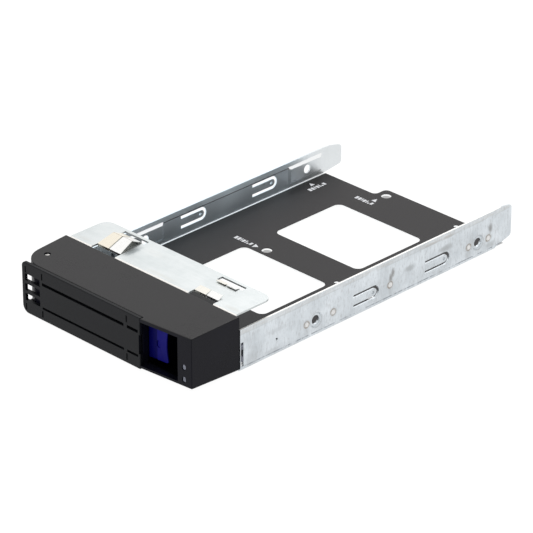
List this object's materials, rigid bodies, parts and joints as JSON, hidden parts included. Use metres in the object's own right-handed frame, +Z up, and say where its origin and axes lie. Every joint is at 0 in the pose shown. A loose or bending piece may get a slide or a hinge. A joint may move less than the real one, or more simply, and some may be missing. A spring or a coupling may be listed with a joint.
{
  "type": "hot swap drive caddy",
  "caption": "Folded sheet tray for a hard disk with a moulded front bezel, swinging lever, sprung latch button and shield plate.",
  "frame": {"origin": "middle of the footprint, on the underside of the tray", "axes": "+Y runs from the bezel to the rear of the tray, +X to the right seen from the bezel, +Z up"},
  "size_m": [0.1071, 0.199, 0.0287],
  "materials": {
    "zinc_sheet": "galvanised, lightly scuffed",
    "zinc_plate": "bright zinc",
    "spring_steel": "bright rolled",
    "screw_steel": "zinc",
    "black_film": "satin",
    "bezel_plastic": "fine texture",
    "lever_plastic": "fine texture",
    "button_plastic": "satin",
    "clear_plastic": "clear, polished"
  },
  "bodies": {
    "caddy": {"tray_pan": "zinc_sheet", "insulating_film": "black_film", "bezel_body": "bezel_plastic", "bezel_back_panel": "bezel_plastic", "lever_pivot_pin": "screw_steel", "lever_spring": "spring_steel", "button_guide_pin": "screw_steel", "button_spring": "spring_steel", "light_pipe_lower": "clear_plastic", "light_pipe_upper": "clear_plastic", "shield_plate": "zinc_plate", "spring_clip_left": "spring_steel", "spring_clip_right": "spring_steel", "shield_screws": "screw_steel", "bezel_screws": "screw_steel"},
    "handle": {"lever": "lever_plastic"},
    "button": {"release_button": "button_plastic"}
  },
  "joints": [
    {"name": "lever_hinge", "type": "hinge", "parent": "caddy", "child": "handle", "pos_m": [-0.0451, -0.0872, 0.0137], "axis": [0, 0, -1], "range_deg": [0, 60]},
    {"name": "button_slide", "type": "slide", "parent": "caddy", "child": "button", "axis": [-1, 0, 0], "range_m": [0, 0.004], "stiffness_N_per_m": 300, "springref_m": -0.002, "deforming": ["button_spring"]}
  ]
}
